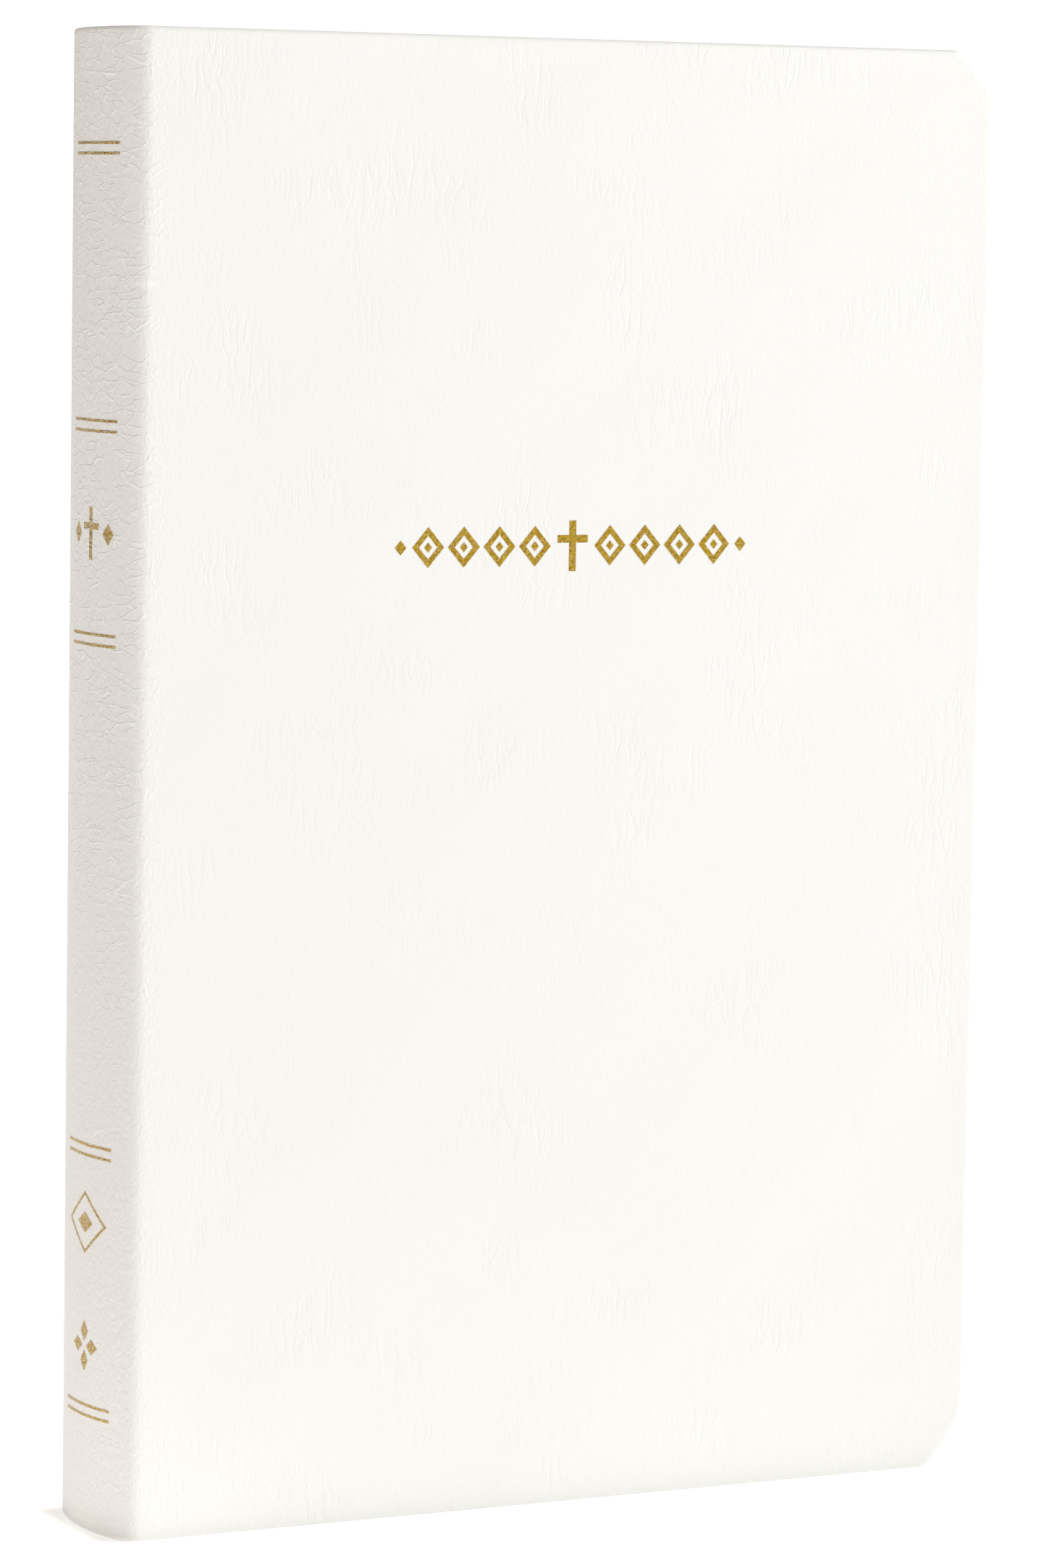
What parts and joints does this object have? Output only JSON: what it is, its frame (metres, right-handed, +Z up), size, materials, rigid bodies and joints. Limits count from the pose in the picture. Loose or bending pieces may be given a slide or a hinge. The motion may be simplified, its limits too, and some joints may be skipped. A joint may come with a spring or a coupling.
{
  "type": "bible",
  "caption": "Slim Bible in a white imitation-leather flexible binding with a rounded spine, gold foil ornaments, opening covers, turning endpapers and a page block that opens flat.",
  "frame": {"origin": "middle of the closed book's tail end, at the level it stands on", "axes": "+Z up the spine from tail to head, +X from the spine to the fore-edge, +Y from the front cover to the back cover"},
  "size_m": [0.138, 0.023, 0.21],
  "materials": {
    "cover_leather": "satin",
    "gold_foil": "satin",
    "page_paper": "matte",
    "endpaper": "matte",
    "card": "matte",
    "spine_cloth": "matte",
    "band_cloth": "matte"
  },
  "bodies": {
    "rear_middle_pages": {"signature_13": "page_paper", "signature_14": "page_paper", "signature_15": "page_paper", "signature_16": "page_paper", "signature_17": "page_paper", "signature_18": "page_paper", "spine_skin_3": "cover_leather", "spine_card_3": "card", "spine_mull_3": "spine_cloth", "head_band_3": "band_cloth", "tail_band_3": "band_cloth", "spine_foil_3": "gold_foil"},
    "front_middle_pages": {"signature_07": "page_paper", "signature_08": "page_paper", "signature_09": "page_paper", "signature_10": "page_paper", "signature_11": "page_paper", "signature_12": "page_paper", "spine_skin_2": "cover_leather", "spine_card_2": "card", "spine_mull_2": "spine_cloth", "head_band_2": "band_cloth", "tail_band_2": "band_cloth", "spine_foil_2": "gold_foil"},
    "front_pages": {"signature_01": "page_paper", "signature_02": "page_paper", "signature_03": "page_paper", "signature_04": "page_paper", "signature_05": "page_paper", "signature_06": "page_paper", "spine_skin_1": "cover_leather", "spine_card_1": "card", "spine_mull_1": "spine_cloth", "head_band_1": "band_cloth", "tail_band_1": "band_cloth", "spine_foil_1": "gold_foil"},
    "rear_pages": {"signature_19": "page_paper", "signature_20": "page_paper", "signature_21": "page_paper", "signature_22": "page_paper", "signature_23": "page_paper", "signature_24": "page_paper", "spine_skin_4": "cover_leather", "spine_card_4": "card", "spine_mull_4": "spine_cloth", "head_band_4": "band_cloth", "tail_band_4": "band_cloth"},
    "front_cover": {"front_cover_skin": "cover_leather", "front_board": "card", "front_infill_sheet": "endpaper", "front_pastedown": "endpaper", "front_foil_device": "gold_foil"},
    "back_cover": {"back_cover_skin": "cover_leather", "back_board": "card", "back_infill_sheet": "endpaper", "back_pastedown": "endpaper"},
    "front_flyleaf": {"front_flyleaf": "endpaper"},
    "title_leaf": {"title_leaf": "page_paper"},
    "back_flyleaf": {"back_flyleaf": "endpaper"},
    "middle_leaf": {"middle_leaf": "page_paper"}
  },
  "joints": [
    {"name": "front_cover_hinge", "type": "hinge", "parent": "front_pages", "child": "front_cover", "pos_m": [-0.06226, -0.0115, 0.105], "axis": [0, 0, -1], "range_deg": [0, 165]},
    {"name": "back_cover_hinge", "type": "hinge", "parent": "rear_pages", "child": "back_cover", "pos_m": [-0.06226, 0.0115, 0.105], "axis": [0, 0, -1], "range_deg": [-165, 0]},
    {"name": "middle_opening", "type": "hinge", "parent": "rear_middle_pages", "child": "front_middle_pages", "pos_m": [-0.069, 0, 0.105], "axis": [0, 0, -1], "range_deg": [0, 150]},
    {"name": "front_opening", "type": "hinge", "parent": "front_middle_pages", "child": "front_pages", "pos_m": [-0.06864, -0.00462, 0.105], "axis": [0, 0, 1], "range_deg": [-90, 0]},
    {"name": "rear_opening", "type": "hinge", "parent": "rear_middle_pages", "child": "rear_pages", "pos_m": [-0.06862, 0.00477, 0.105], "axis": [0, 0, -1], "range_deg": [-90, 0]},
    {"name": "front_flyleaf_turn", "type": "hinge", "parent": "front_pages", "child": "front_flyleaf", "pos_m": [-0.06196, -0.00955, 0.105], "axis": [0, 0, -1], "range_deg": [0, 90]},
    {"name": "title_leaf_turn", "type": "hinge", "parent": "front_pages", "child": "title_leaf", "pos_m": [-0.06196, -0.00955, 0.105], "axis": [0, 0, -1], "range_deg": [0, 60]},
    {"name": "back_flyleaf_turn", "type": "hinge", "parent": "rear_pages", "child": "back_flyleaf", "pos_m": [-0.06196, 0.00955, 0.105], "axis": [0, 0, -1], "range_deg": [-90, 0]},
    {"name": "middle_leaf_turn", "type": "hinge", "parent": "rear_middle_pages", "child": "middle_leaf", "pos_m": [-0.069, 0, 0.105], "axis": [0, 0, -1], "range_deg": [0, 90]}
  ],
  "couplings": [
    {"joint": "front_flyleaf_turn", "follows": "front_cover_hinge", "ratio": 0.5},
    {"joint": "title_leaf_turn", "follows": "front_cover_hinge", "ratio": 0.25},
    {"joint": "back_flyleaf_turn", "follows": "back_cover_hinge", "ratio": 0.5},
    {"joint": "middle_leaf_turn", "follows": "middle_opening", "ratio": 0.5}
  ]
}
